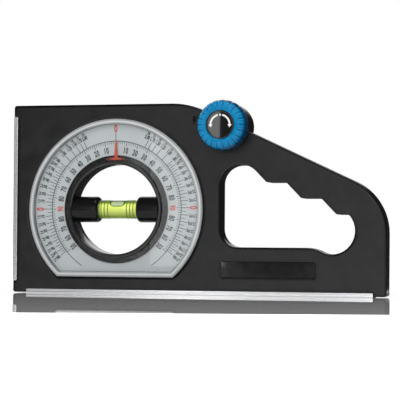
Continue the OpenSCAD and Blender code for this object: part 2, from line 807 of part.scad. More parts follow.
module knob_shaft() {
    color([0.7, 0.71, 0.73]) upright() difference() {
        union() {
            drive_end(0, side_gap, shaft_top_d);
            rod(knob_at, shaft_r, -side_gap, gear_back);
            rod(knob_at, shoulder_r, gear_back, gear_back + shoulder_t);
            rod(knob_at, tail_r, gear_back + shoulder_t, tail_end);
        }
        rod(knob_at, knob_screw_r + seat_gap, -shaft_top_d - past, knob_screw_l - knob_floor_d + side_gap);
    }
}

front_shell();
rear_shell();
bottom_rail();
side_rail();
shell_screws();
dial_plate();
dial_cover();
nameplate();
idler_pin();
friction_washer();
vial_ring();
rear_ring();
ring_gear();
collar_screws();
pointer();
left_cap();
right_cap();
vial_tube();
vial_liquid();
vial_plugs();
bubble();
idler_gear();
knob_grip();
knob_disc();
knob_screw();
knob_shaft();
knob_pinion();
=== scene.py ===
"""Inclinometer: the visual model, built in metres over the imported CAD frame.

Sizes in the sections are in millimetres of the sketch seen from the front: x along the base, y up, and a
depth d that counts from the front face of the body towards its back.
"""
import math

import bmesh
import bpy
import numpy as np
from mathutils import Matrix


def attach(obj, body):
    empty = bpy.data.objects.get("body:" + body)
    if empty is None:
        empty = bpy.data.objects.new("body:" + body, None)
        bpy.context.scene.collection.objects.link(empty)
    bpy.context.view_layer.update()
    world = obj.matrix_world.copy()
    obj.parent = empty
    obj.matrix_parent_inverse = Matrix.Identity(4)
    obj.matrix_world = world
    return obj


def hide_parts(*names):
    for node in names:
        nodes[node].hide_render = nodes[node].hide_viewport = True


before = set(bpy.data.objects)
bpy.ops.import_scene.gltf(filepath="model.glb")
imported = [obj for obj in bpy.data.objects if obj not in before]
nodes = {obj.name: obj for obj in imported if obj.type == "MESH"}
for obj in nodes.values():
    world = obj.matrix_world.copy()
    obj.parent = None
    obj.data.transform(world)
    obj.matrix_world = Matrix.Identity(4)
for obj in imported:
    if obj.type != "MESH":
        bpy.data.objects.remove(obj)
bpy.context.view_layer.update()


# ---- Camera --------------------------------------------------------------------------------------
# A long lens from the right of the tool, a little above its base. Its place and turn come from the
# tool's corners, ring and knob as they lie in the photograph.
CAMERA_AT = (0.229995, -0.88702, 0.03153)
YAW, PITCH, ROLL = np.radians([14.328, 1.419, 0.363])
SENSOR = 36.0
FOCAL_SHARE = 1607.6 / 400  # the focal length as a share of the picture's width

ahead = np.array([-np.sin(YAW) * np.cos(PITCH), np.cos(YAW) * np.cos(PITCH), np.sin(PITCH)])
level = np.array([np.cos(YAW), np.sin(YAW), 0])
upward = np.cross(level, ahead)
aside = level * np.cos(ROLL) + upward * np.sin(ROLL)
upward = upward * np.cos(ROLL) - level * np.sin(ROLL)
camera = bpy.data.objects.new("camera", bpy.data.cameras.new("camera"))
camera.data.sensor_width = SENSOR
camera.data.lens = SENSOR * FOCAL_SHARE
turn = Matrix(np.column_stack([aside, upward, -ahead]).tolist()).to_4x4()
camera.matrix_world = Matrix.Translation(CAMERA_AT) @ turn
bpy.context.collection.objects.link(camera)
bpy.context.scene.camera = camera
bpy.context.scene.view_settings.view_transform = "Standard"


# ---- Materials' arithmetic, first used by the studio ---------------------------------------------
class Shade:
    """One value of a shader. Arithmetic on it adds Math nodes to its node tree."""

    def __init__(self, tree, socket):
        self.tree = tree
        self.socket = socket

    def math(self, operation, *values):
        node = self.tree.nodes.new("ShaderNodeMath")
        node.operation = operation
        for entry, value in zip(node.inputs, values):
            feed(entry, value)
        return Shade(self.tree, node.outputs[0])

    def __add__(self, other):
        return self.math("ADD", self, other)

    def __radd__(self, other):
        return self.math("ADD", other, self)

    def __sub__(self, other):
        return self.math("SUBTRACT", self, other)

    def __rsub__(self, other):
        return self.math("SUBTRACT", other, self)

    def __mul__(self, other):
        return self.math("MULTIPLY", self, other)

    def __truediv__(self, other):
        return self.math("DIVIDE", self, other)

    def __pow__(self, other):
        return self.math("POWER", self, other)

    def size(self):
        return self.math("ABSOLUTE", self)

    def root(self):
        return self.math("SQRT", self)

    def larger(self, other):
        return self.math("MAXIMUM", self, other)

    def smaller(self, other):
        return self.math("MINIMUM", self, other)

    def step(self, low, high):
        """0 below low, 1 above high, and a smooth rise between. With low above high it falls."""
        node = self.tree.nodes.new("ShaderNodeMapRange")
        node.interpolation_type = "SMOOTHSTEP"
        flip = low > high
        self.tree.links.new(self.socket, node.inputs["Value"])
        node.inputs["From Min"].default_value = min(low, high)
        node.inputs["From Max"].default_value = max(low, high)
        node.inputs["To Min"].default_value = 1.0 if flip else 0.0
        node.inputs["To Max"].default_value = 0.0 if flip else 1.0
        return Shade(self.tree, node.outputs[0])


def feed(entry, value):
    """Links a value to a node's entry, or writes a constant there."""
    if isinstance(value, Shade):
        value.tree.links.new(value.socket, entry)
    else:
        entry.default_value = value


class Finish:
    """A procedural material: a Principled shader with constants, and nodes added to vary it."""

    def __init__(self, name, **constants):
        self.material = bpy.data.materials.new(name)
        self.material.use_nodes = True
        self.tree = self.material.node_tree
        self.shader = self.tree.nodes["Principled BSDF"]
        self.out = self.tree.nodes["Material Output"]
        for key, value in constants.items():
            self.set(key.replace("_", " ").title().replace("Ior", "IOR"), value)

    def set(self, name, value):
        feed(self.shader.inputs[name], value)

    def add(self, kind, settings=None, out=0, **values):
        """Adds a node of any kind, with its settings and its entries' values, and returns one output."""
        node = self.tree.nodes.new(kind)
        for key, value in (settings or {}).items():
            setattr(node, key, value)
        for key, value in values.items():
            entries = [entry for entry in node.inputs if entry.name.replace(" ", "_").lower() == key]
            entries = [entry for entry in entries if entry.enabled] or entries
            feed(entries[0], value)
        return Shade(self.tree, node.outputs[out])

    def place(self, scale=(1, 1, 1)):
        """Object coordinates in millimetres, each axis scaled."""
        spot = self.add("ShaderNodeTexCoord", out=3)
        node = self.tree.nodes.new("ShaderNodeVectorMath")
        node.operation = "MULTIPLY"
        self.tree.links.new(spot.socket, node.inputs[0])
        node.inputs[1].default_value = tuple(1000 * s for s in scale)
        return Shade(self.tree, node.outputs[0])

    def axes(self):
        """The millimetre coordinates x, y and z as three values."""
        split = self.tree.nodes.new("ShaderNodeSeparateXYZ")
        self.tree.links.new(self.place().socket, split.inputs[0])
        return [Shade(self.tree, socket) for socket in split.outputs]

    def noise(self, scale, detail=2.0, stretch=(1, 1, 1), rough=0.5):
        """Noise from 0 to 1 with so many cells per millimetre, stretched along the axes."""
        return self.add("ShaderNodeTexNoise", vector=self.place(stretch), scale=float(scale),
                        detail=float(detail), roughness=float(rough))

    def blend(self, factor, first, second):
        """The first colour where the factor is 0, the second where it is 1."""
        node = self.tree.nodes.new("ShaderNodeMix")
        node.data_type = "RGBA"
        feed(node.inputs[0], factor)
        for entry, value in ((node.inputs[6], first), (node.inputs[7], second)):
            feed(entry, value if isinstance(value, Shade) else (*value, 1.0))
        return Shade(self.tree, node.outputs[2])

    def colour(self, factor, first, second):
        """Gives the material a blend of two colours."""
        self.set("Base Color", self.blend(factor, first, second))

    def turned_edge(self, radius, samples=8):
        """Normals as of edges rounded by the radius in millimetres, and how far they turn, from 0 to 1."""
        soft = self.add("ShaderNodeBevel", {"samples": samples}, radius=radius / 1000)
        true = self.add("ShaderNodeNewGeometry", out=1)
        node = self.tree.nodes.new("ShaderNodeVectorMath")
        node.operation = "DOT_PRODUCT"
        self.tree.links.new(soft.socket, node.inputs[0])
        self.tree.links.new(true.socket, node.inputs[1])
        return soft, Shade(self.tree, node.outputs["Value"]).step(0.9995, 0.98)

    def bump(self, height, distance, strength, normal=None):
        """Raises the surface by the height, in parts of the distance in millimetres."""
        node = self.tree.nodes.new("ShaderNodeBump")
        if normal:
            self.tree.links.new(normal.socket, node.inputs["Normal"])
        node.inputs["Strength"].default_value = strength
        node.inputs["Distance"].default_value = distance / 1000
        self.tree.links.new(height.socket, node.inputs["Height"])
        self.tree.links.new(node.outputs[0], self.shader.inputs["Normal"])

    def layer(self, share, under, over):
        """Makes the surface of two shaders, the upper one shown by its share, and returns the mix."""
        mix = self.tree.nodes.new("ShaderNodeMixShader")
        self.tree.links.new(share.socket, mix.inputs[0])
        self.tree.links.new(under.outputs[0], mix.inputs[1])
        self.tree.links.new(over.outputs[0], mix.inputs[2])
        self.tree.links.new(mix.outputs[0], self.out.inputs[0])
        return mix

    def clear(self, tint, ior, gloss_roughness):
        """Makes the material see-through with the tint, and glossy by the Fresnel law on its outside."""
        through = self.tree.nodes.new("ShaderNodeBsdfTransparent")
        through.inputs[0].default_value = (*tint, 1)
        gloss = self.tree.nodes.new("ShaderNodeBsdfGlossy")
        gloss.inputs["Roughness"].default_value = gloss_roughness
        outside = 1 - self.add("ShaderNodeNewGeometry", out=6)
        return self.layer(self.add("ShaderNodeFresnel", ior=ior) * outside, through, gloss)


# ---- Studio --------------------------------------------------------------------------------------
# White surround and a white table with a polished sheet under the tool. Dark cards that only gloss
# sees stand round it and lie before and behind it, and keep black plastic black and give the metal its
# contrast. Soft lights stand above and in front.
world = bpy.data.worlds.new("studio")
bpy.context.scene.world = world
world.use_nodes = True
tree = world.node_tree
rays = tree.nodes.new("ShaderNodeLightPath")
seen = Shade(tree, rays.outputs["Is Camera Ray"]) + Shade(tree, rays.outputs["Is Glossy Ray"])
seen = seen + Shade(tree, rays.outputs["Is Transmission Ray"])
AMBIENT = 0.62
backdrop = tree.nodes["Background"]
backdrop.inputs["Color"].default_value = (1, 1, 1, 1)
feed(backdrop.inputs["Strength"], seen.step(0, 1) * (1 - AMBIENT) + AMBIENT)


def softbox(name, at, towards, width, height, radiance, in_gloss=True):
    """A rectangular light at a point, facing another, of equal radiance over its face."""
    light = bpy.data.lights.new(name, "AREA")
    light.shape = "RECTANGLE"
    light.size = width
    light.size_y = height
    light.energy = radiance * math.pi * width * height
    lamp = bpy.data.objects.new(name, light)
    lamp.location = at
    way = Matrix.Translation(towards).to_translation() - lamp.location
    lamp.rotation_euler = way.to_track_quat("-Z", "Y").to_euler()
    lamp.visible_camera = False
    lamp.visible_glossy = in_gloss
    bpy.context.collection.objects.link(lamp)


softbox("left_strip", (-0.239, -0.89, 0.23), (-0.239, 0, 0.23), 0.088, 0.5, 2.1)
softbox("right_card", (0.28, -0.95, 0.2), (0.28, 0, 0.2), 0.74, 0.7, 1.0)
softbox("top_softbox", (0.28, -0.1, 0.95), (0.2, 0, 0.05), 0.95, 0.5, 2.0)
softbox("front_softbox", (-0.2, -1.0, 0.85), (0, 0, 0.05), 1.2, 0.55, 2.4, in_gloss=False)


def sheet(name, low, high, finish, only_in_gloss=False):
    """A flat rectangle of the studio between two opposite corners, which share one coordinate."""
    low, high = np.array(low, float), np.array(high, float)
    first, second = np.eye(3)[low != high] * (high - low)
    mesh = bpy.data.meshes.new(name)
    mesh.from_pydata([low, low + first, high, low + second], [], [(0, 1, 2, 3)])
    mesh.materials.append(finish.material)
    thing = bpy.data.objects.new(name, mesh)
    bpy.context.collection.objects.link(thing)
    if only_in_gloss:
        for ray in ("camera", "diffuse", "transmission", "volume_scatter", "shadow"):
            setattr(thing, "visible_" + ray, False)


# The polished sheet ends in front of the tool on a line square to the camera, and fades out elsewhere.
# The rest of the table is shown to the camera as white, with the tool's shadow on it.
SHEET_FRONT = 687.0
MIRROR_GAIN = 1.12
TABLE_GLOW = 0.6
TABLE_HALF = 6.0
TABLE_Z = -2e-5
table_finish = Finish("table", base_color=(0.93, 0.93, 0.93, 1), roughness=1.0, specular_ior_level=0.0)
x, y, _ = table_finish.axes()
away = (y - 1000 * CAMERA_AT[1]) * math.cos(YAW) - (x - 1000 * CAMERA_AT[0]) * math.sin(YAW)
polished = away.step(SHEET_FRONT - 0.4, SHEET_FRONT + 0.4) * x.size().step(900, 300) * y.step(95, 40)
gloss = table_finish.tree.nodes.new("ShaderNodeBsdfGlossy")
gloss.inputs["Color"].default_value = (1, 1, 1, 1)
gloss.inputs["Roughness"].default_value = 0.02
mirror = table_finish.add("ShaderNodeFresnel", ior=1.6) * MIRROR_GAIN * polished
table_finish.layer(mirror, table_finish.shader, gloss)
shown = table_finish.add("ShaderNodeLightPath") * (1 - polished * 0.85)
table_finish.set("Emission Color", table_finish.blend(shown, (0, 0, 0), (TABLE_GLOW,) * 3))
table_finish.set("Emission Strength", 1.0)
sheet("table_top", (-TABLE_HALF, -TABLE_HALF, TABLE_Z), (TABLE_HALF, TABLE_HALF, TABLE_Z), table_finish)


def card_finish(name, glow):
    """A card that gives off a little even light and reflects none."""
    return Finish(name, base_color=(0, 0, 0, 1), roughness=1.0, specular_ior_level=0.0,
                  emission_color=(1, 1, 1, 1), emission_strength=glow)


black_card = card_finish("black_card", 0.03)
grey_card = card_finish("grey_card", 0.13)
WIDE, DEEP, TALL, LOW = 1.8, 1.6, 1.9, 1e-3
for name, finish, low, high in (
        ("card_front", grey_card, (-WIDE, -DEEP, 0), (WIDE, -DEEP, TALL)),
        ("card_left", grey_card, (-WIDE, -DEEP, 0), (-WIDE, 0.3, TALL)),
        ("card_right", black_card, (WIDE, -DEEP, 0), (WIDE, DEEP, TALL)),
        ("card_rear", black_card, (-0.05, DEEP, 0), (WIDE, DEEP, TALL)),
        ("card_top", black_card, (-WIDE, -DEEP, TALL), (WIDE, DEEP, TALL)),
        ("card_low_front", black_card, (-WIDE, -DEEP, LOW), (WIDE, -0.3, LOW)),
        ("card_low_rear", black_card, (-WIDE, 0.1, LOW), (WIDE, DEEP, LOW))):
    sheet(name, low, high, finish, only_in_gloss=True)


# ---- Body shells ---------------------------------------------------------------------------------
# Two halves of glass-filled nylon, moulded and screwed together. Their faces carry a fine spark-eroded
# grain, and a fine V groove shows where the halves meet. The rounded edges are smooth, and a band along every
# edge is painted darker: partly their smooth black finish, partly painted shade for the dark reflections in
# them.
FACE_Y = 0.8
BODY_D = 13.0
DIAL = np.array([-47.6, 48.9])
KNOB = np.array([18.179, 96.167])
EDGE_ROUND = 1.6
EDGE_SOFT = 3.0
CREASE = math.radians(30)

shell_finish = Finish("shell", ior=1.5)
_, y, _ = shell_finish.axes()
flat_back = y.step(FACE_Y + BODY_D - 0.12, FACE_Y + BODY_D - 0.02)
flat = y.step(FACE_Y + 0.12, FACE_Y + 0.02).larger(flat_back)
grain = shell_finish.noise(3.2, 3)
cloud = shell_finish.noise(0.11, 4, rough=0.6)
patch = (grain - 0.5) * 0.5 + cloud
dark = shell_finish.blend(patch.step(0.2, 0.8), (0.0035, 0.0035, 0.004), (0.0125, 0.0125, 0.0142))
# painted shade: the base colour along every edge is darker, partly for the smooth finish and partly standing
# in for the dark reflections there
soft, edge_smooth_and_shade = shell_finish.turned_edge(EDGE_SOFT)
flat = flat * (1 - edge_smooth_and_shade)
shell_finish.colour(flat, (0.0008, 0.0008, 0.001), dark)
shell_finish.set("Roughness", 0.2 + flat * (0.17 + (cloud - 0.5) * 0.26))
shell_finish.bump(grain * flat, 0.01, 0.5, soft)


def rounded_copy(node, name, widths, width, segments, body, finish):
    """A copy of a CAD piece with its flat faces joined and chosen edges rounded.

    widths takes the two ends of every edge, in mm, and gives each edge's share of the rounding width.
    """
    bm = bmesh.new()
    bm.from_mesh(nodes[node].data)
    bmesh.ops.remove_doubles(bm, verts=bm.verts, dist=2e-6)
    bmesh.ops.dissolve_limit(bm, angle_limit=math.radians(0.4), verts=bm.verts, edges=bm.edges)
    bm.verts.ensure_lookup_table()
    spots = np.array([v.co for v in bm.verts]) * 1000
    ends = np.array([[v.index for v in e.verts] for e in bm.edges])
    bends = np.array([e.calc_face_angle(0.0) for e in bm.edges])
    share = widths(spots[ends[:, 0]], spots[ends[:, 1]]) * (bends > CREASE)
    mesh = bpy.data.meshes.new(name)
    bm.to_mesh(mesh)
    bm.free()
    weights = mesh.attributes.new("bevel_weight_edge", "FLOAT", "EDGE")
    weights.data.foreach_set("value", share.astype(np.float32))
    mesh.materials.clear()
    mesh.materials.append(finish.material)
    mesh.shade_smooth()
    mesh.set_sharp_from_angle(angle=CREASE)
    piece = bpy.data.objects.new(name, mesh)
    bpy.context.collection.objects.link(piece)
    bevel = piece.modifiers.new("rounding", "BEVEL")
    bevel.limit_method = "WEIGHT"
    bevel.width = width / 1000
    bevel.segments = segments
    bevel.use_clamp_overlap = True
    even = piece.modifiers.new("even_shading", "WEIGHTED_NORMAL")
    even.keep_sharp = True
    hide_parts(node)
    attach(piece, body)


# Where a face's edges stay finer: the screws' places, the dial's recess, and boxes of x and y
SCREWS = np.array([[-99.5, 10], [-99.5, 103], [-12, 101], [8, 12], [102, 10], [92.171, 57.178], [52, 73]])
RECESS_R = 53.2
RECESS_LOW = 9.3
PLATE_BOX = (15.3, 69.5, 10.1, 19.5)
SLOT_BOX = (-1.32, -0.32, 98.5, 102.5)
BASE_RAIL_BOX = (-102, 102.6, -1, 2.6)
SIDE_RAIL_BOX = (-111, -107.4, 7.1, 103.1)


def shell_edges(face_d):
    """Which edges of a shell are rounded: its outer edge and hand hole's edge in full, finer elsewhere."""
    def widths(a, b):
        x, y = ((a + b) / 2)[:, [0, 2]].T

        def within(box):
            return (x > box[0]) & (x < box[1]) & (y > box[2]) & (y < box[3])

        on_face = (np.abs(a[:, 1] - FACE_Y - face_d) < 0.01) & (np.abs(b[:, 1] - FACE_Y - face_d) < 0.01)
        in_dial = (np.hypot(x - DIAL[0], y - DIAL[1]) < RECESS_R) & (y > RECESS_LOW)
        at_knob = np.hypot(x - KNOB[0], y - KNOB[1]) < 4
        at_screw = np.hypot(x[:, None] - SCREWS[:, 0], y[:, None] - SCREWS[:, 1]).min(axis=1) < 2.8
        full = np.where(within(BASE_RAIL_BOX) | within(SIDE_RAIL_BOX), 0.16, 1.0)
        fine = in_dial | at_knob | at_screw | within(PLATE_BOX) | within(SLOT_BOX)
        return np.where(on_face, np.where(fine, 0.1, full), 0)
    return widths


for node, name, face_d in (("front_shell", "front_shell_body", 0), ("rear_shell", "rear_shell_body", BODY_D)):
    rounded_copy(node, name, shell_edges(face_d), EDGE_ROUND, 4, "case", shell_finish)


# ---- Rails ---------------------------------------------------------------------------------------
# Drawn aluminium bars on the base and the upright side, milled flat where they meet the work and
# polished. A web through the body's wall and a foot inside hold each bar between the two halves.
rail_finish = Finish("rail", metallic=0.8)
streak = rail_finish.noise(0.9, 3, stretch=(0.02, 1.6, 1.6))
streak_up = rail_finish.noise(0.9, 3, stretch=(1.6, 1.6, 0.02))
x, _, _ = rail_finish.axes()
drawn = streak + (streak_up - streak) * x.step(-107.0, -107.6)
rail_finish.colour(drawn.step(0.3, 0.75), (0.86, 0.87, 0.89), (0.98, 0.98, 0.99))
rail_finish.set("Roughness", 0.15 + drawn * 0.12)
rail_finish.bump(drawn, 0.004, 0.4)


def rounded(corners, bends, steps=6):
    """A closed outline with arcs for corners: each arc turns from the edge before to the edge after.

    The arc's middle lies on the corner's bisector, bend / sin(half angle) away.
    """
    at = np.asarray(corners, float)
    r = np.broadcast_to(np.asarray(bends, float), len(at))[:, None]
    back = np.roll(at, 1, axis=0) - at
    on = np.roll(at, -1, axis=0) - at
    back = back / np.linalg.norm(back, axis=1, keepdims=True)
    on = on / np.linalg.norm(on, axis=1, keepdims=True)
    half = np.arccos(np.clip((back * on).sum(axis=1), -1, 1))[:, None] / 2
    bisector = (back + on) / np.linalg.norm(back + on, axis=1, keepdims=True)
    mid = at + bisector * r / np.sin(half)
    start = at + back * r / np.tan(half) - mid
    side = np.sign(back[:, 1] * on[:, 0] - back[:, 0] * on[:, 1])[:, None]
    angle = (np.pi - 2 * half) * side * np.linspace(0, 1, steps + 1)
    xs = mid[:, :1] + start[:, :1] * np.cos(angle) - start[:, 1:] * np.sin(angle)
    ys = mid[:, 1:] + start[:, :1] * np.sin(angle) + start[:, 1:] * np.cos(angle)
    return np.stack([xs.ravel(), ys.ravel()], axis=1)


def grid_faces(rows, columns, wrap_rows, wrap_columns):
    """Quads between neighbours on a grid of points, joined round where a direction wraps."""
    i = np.arange(rows if wrap_rows else rows - 1)[:, None]
    j = np.arange(columns if wrap_columns else columns - 1)[None]
    k, m = (i + 1) % rows, (j + 1) % columns
    quads = np.stack(np.broadcast_arrays(i * columns + j, i * columns + m, k * columns + m, k * columns + j),
                     axis=-1)
    return quads.reshape(-1, 4).tolist()


def swept_faces(rows, columns):
    """Faces of a section swept through so many places, with a face over each end."""
    last = (rows - 1) * columns
    return grid_faces(rows, columns, False, True) + [list(range(columns)), list(range(last, last + columns))]


def make(name, points, faces, finish, body, slot, stands_for=(), sharp=30):
    """A piece from points in millimetres of the world and its faces, with doubles merged."""
    bm = bmesh.new()
    mesh = bpy.data.meshes.new(name)
    mesh.from_pydata((np.asarray(points).reshape(-1, 3) / 1000).tolist(), [], faces)
    bm.from_mesh(mesh)
    bmesh.ops.remove_doubles(bm, verts=bm.verts, dist=1e-6)
    bmesh.ops.dissolve_degenerate(bm, edges=bm.edges, dist=1e-6)
    bmesh.ops.recalc_face_normals(bm, faces=bm.faces)
    bm.to_mesh(mesh)
    bm.free()
    mesh.materials.append(finish.material)
    mesh.shade_smooth()
    mesh.set_sharp_from_angle(angle=math.radians(sharp))
    piece = bpy.data.objects.new(name, mesh)
    bpy.context.collection.objects.link(piece)
    if stands_for:
        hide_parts(*stands_for)
    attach(piece, body)


def stood(x, y, d):
    """Sketch points, seen from the front with a depth, as world points in millimetres."""
    return np.stack(np.broadcast_arrays(x, FACE_Y + np.asarray(d, float), y), axis=-1)


# u runs from the bar's outer face inwards, v from the front to the back; a fine groove marks the front
rail_corners = [(0, 0), (0.85, 0), (1.0, 0.14), (1.45, 0.14), (1.6, 0), (2.5, 0), (2.5, 5), (4.85, 5),
                (4.85, 3.8), (5.95, 3.8), (5.95, 9.2), (4.85, 9.2), (4.85, 8), (2.5, 8), (2.5, 13), (1.6, 13),
                (1.45, 12.86), (1.0, 12.86), (0.85, 13), (0, 13)]
rail_bends = [0.3, 0.05, 0.05, 0.05, 0.05, 0.25, 0.1, 0, 0, 0.2, 0.2, 0, 0, 0.1, 0.25, 0.05, 0.05, 0.05, 0.05,
              0.3]
u, v = rounded(rail_corners, rail_bends).T
for name, node, ends in (
        ("base_rail_bar", "bottom_rail", [stood(-101.45, u, v), stood(102.35, u, v)]),
        ("side_rail_bar", "side_rail", [stood(u - 110, 7.35, v), stood(u - 110, 102.85, v)])):
    make(name, ends, swept_faces(2, len(u)), rail_finish, "case", "rail", [node])


# ---- Shell screws --------------------------------------------------------------------------------
# Seven zinc-plated cross-head screws, put in from the back into bosses of the front half. The other
# screws, the knob's shaft and the idler's pin are of the same steel.
steel_finish = Finish("steel", metallic=1.0)
turned = steel_finish.noise(1.4, 3)
steel_finish.colour(turned, (0.42, 0.43, 0.45), (0.62, 0.63, 0.65))
steel_finish.set("Roughness", 0.25 + turned * 0.2)
for node in ("shell_screws", "idler_pin", "collar_screws", "knob_screw", "knob_shaft"):
    nodes[node].data.materials[0] = steel_finish.material


# ---- Dial plate ----------------------------------------------------------------------------------
# A stamped and anodised plate under the cover, satin light grey, with its scales printed in dark grey
# and red: degrees inside the line, slope and rise per foot outside it.
DIAL_FACE_D = 2.6
LINE_R = 39.1
INK = 0.02
PRINT_AT = DIAL + [0, 0.5]
PRINT_TURN = math.radians(-0.6)
DEGREE_ROW = (34.0, 3.3, 0.6)  # each row's radius, its figures' height and their width as a share
SLOPE_ROW = (45.25, 2.15, 0.52)
RISE_ROW = (47.6, 1.55, 0.66)

dial_finish = Finish("dial", roughness=0.42)
tone = dial_finish.noise(0.05, 2)
speck = dial_finish.noise(6.0, 2)
shown = (tone - 0.5) * 0.7 + (speck - 0.5) * 0.25 + 0.5
dial_finish.colour(shown.step(0.15, 0.85), (0.47, 0.50, 0.51), (0.55, 0.575, 0.59))
dial_finish.bump(speck, 0.01, 0.3)
nodes["dial_plate"].data.materials[0] = dial_finish.material


def ink(name, colour):
    """Screen-printed ink, a little uneven in tone."""
    finish = Finish(name, roughness=0.55)
    wear = finish.noise(2.5, 3)
    finish.colour(wear.step(0.45, 0.8), colour, tuple(c * 1.5 + 0.02 for c in colour))
    return finish


dark_ink = ink("dark_ink", (0.02, 0.022, 0.025))
red_ink = ink("red_ink", (0.55, 0.05, 0.03))


def on_dial(along, out, angle):
    """Points given along the tangent and along the radius, turned clockwise from the top by the angle."""
    angle = angle + PRINT_TURN
    turned_x = PRINT_AT[0] + along * np.cos(angle) + out * np.sin(angle)
    turned_y = PRINT_AT[1] - along * np.sin(angle) + out * np.cos(angle)
    return turned_x, turned_y


def strokes(angles, low, high, width):
    """Radial strokes as thin blocks: eight corners for each angle, computed together."""
    angles = np.radians(np.atleast_1d(np.asarray(angles, float)))[:, None]
    along = np.array([-1, 1, 1, -1, -1, 1, 1, -1])[None] * width / 2
    out = np.array([0, 0, 1, 1, 0, 0, 1, 1])[None]
    low = np.broadcast_to(low, len(angles))[:, None]
    high = np.broadcast_to(high, len(angles))[:, None]
    x, y = on_dial(along, low + (high - low) * out, angles)
    depth = DIAL_FACE_D - INK * np.array([0, 0, 0, 0, 1, 1, 1, 1])[None]
    corner = np.array([[0, 1, 2, 3], [7, 6, 5, 4], [0, 4, 5, 1], [1, 5, 6, 2], [2, 6, 7, 3], [3, 7, 4, 0]])
    faces = (8 * np.arange(len(angles))[:, None, None] + corner).reshape(-1, 4)
    return stood(x, y, depth).reshape(-1, 3), faces.tolist()


def arc_band(low, high, first, last, steps=180):
    """A thin band between two radii, from the first to the last angle: a small rectangle swept round."""
    angle = np.radians(np.linspace(first, last, steps))[:, None]
    out = np.array([low, high, high, low])[None]
    x, y = on_dial(0, out, angle)
    depth = DIAL_FACE_D - INK * np.array([0, 0, 1, 1])[None]
    return stood(x, y, depth).reshape(-1, 3), swept_faces(steps, 4)


def glyphs(text, height, width):
    """The points and faces of a line of figures, centred, of a height, each figure a share of it wide.

    The outline is fattened as printing does it, and the small rows more.
    """
    tall = 0.70
    curve = bpy.data.curves.new("figures", "FONT")
    curve.body = text
    curve.align_x = "CENTER"
    curve.extrude = 0.5
    curve.offset = 0.034 if height > 3 else 0.058
    curve.resolution_u = 3
    curve.space_character = 1.12
    holder = bpy.data.objects.new("figures", curve)
    mesh = bpy.data.meshes.new_from_object(holder)
    points = np.empty(len(mesh.vertices) * 3)
    mesh.vertices.foreach_get("co", points)
    points = points.reshape(-1, 3)
    faces = [list(face.vertices) for face in mesh.polygons]
    bpy.data.objects.remove(holder)
    bpy.data.curves.remove(curve)
    bpy.data.meshes.remove(mesh)
    return points * [height / tall * width, height / tall, INK] - [0, height / 2, 0], faces


def figures(text, angle, radius, height, width):
    """A line of figures on the dial, upright along the radius, with its middle at the radius."""
    points, faces = glyphs(text, height, width)
    x, y = on_dial(points[:, 0], radius + points[:, 1], math.radians(angle))
    return stood(x, y, DIAL_FACE_D - INK / 2 - points[:, 2]), faces


def joined(parts):
    """Several sets of points and faces as one."""
    counts = np.cumsum([0] + [len(points) for points, _ in parts])
    points = np.concatenate([points for points, _ in parts])
    faces = [[k + start for k in face] for start, (_, rows) in zip(counts, parts) for face in rows]
    return points, faces


degrees = np.arange(-130, 131, 2)
tens = degrees % 10 == 0
slopes = np.arange(0.1, 0.81, 0.1)
steep = np.array([1.0, 1.25, 1.5, 1.75, 2.0])
halves = np.arange(0.05, 0.8, 0.1)
lean = np.degrees(np.arctan(slopes))
lean_steep = np.degrees(np.arctan(steep))
lean_half = np.degrees(np.arctan(halves))
lean_printed = (45.0, 50.9, 55.9, 60.6, 65.1)  # the steep figures stand a little apart from their ticks
mains = np.concatenate([90 + lean, 90 - lean, 90 - lean_steep])
minors = np.concatenate([90 + lean_half, 90 - lean_half])
dark_parts = [
    arc_band(LINE_R - 0.19, LINE_R + 0.19, -147.5, 147.5),
    strokes(degrees[~tens], LINE_R - 1.7, LINE_R, 0.28),
    strokes(degrees[tens], LINE_R - 2.7, LINE_R, 0.32),
    strokes(np.concatenate([mains, -mains]), LINE_R, LINE_R + 4.4, 0.34),
    strokes(np.concatenate([minors, -minors]), LINE_R, LINE_R + 2.8, 0.3),
    strokes([90, -90], LINE_R, LINE_R + 4.8, 0.34)]
for side in (-1, 1):
    for value in range(10, 90, 10):
        dark_parts.append(figures(str(value), side * value, *DEGREE_ROW))
    for value in range(50, 90, 10):
        dark_parts.append(figures(str(value), side * (180 - value), *DEGREE_ROW))
    rows = [(v, 90 + a) for v, a in zip(slopes, lean)] + [(v, 90 - a) for v, a in zip(slopes, lean)]
    rows += [(v, 90 - a) for v, a in zip(steep, lean_printed)]
    for value, angle in rows:
        slope = f"{value:.2f}".lstrip("0")
        rise = f"{12 * value:.1f}".removesuffix(".0")
        dark_parts.append(figures(slope, side * angle, *SLOPE_ROW))
        dark_parts.append(figures(rise, side * angle, *RISE_ROW))
dark_parts.append(strokes([0], LINE_R, LINE_R + 4.9, 0.32))
red_parts = [figures("0", 0, 46.6, 4.3, 0.62)]
for side in (-1, 1):
    red_parts.append(figures("90", side * 90, *DEGREE_ROW))
    red_parts.append(figures("0", side * 90, 46.4, 4.3, 0.62))
make("dial_print_dark", *joined(dark_parts), dark_ink, "case", "dial", sharp=20)
make("dial_print_red", *joined(red_parts), red_ink, "case", "dial", sharp=20)


# ---- Dial cover ----------------------------------------------------------------------------------
# A clear acrylic window, snapped into the front shell. It stands on a rim along its edge. The rim is
# painted paler as a highlight, with a brighter painted highlight band, and ends inside on a dark line painted
# as the shade at the rim's inner step.
COVER_R = 52.4
COVER_FLAT = 39.1
RIM_W = 3.1
RIM_LOW = 2.5
BAND_AT = 1.6

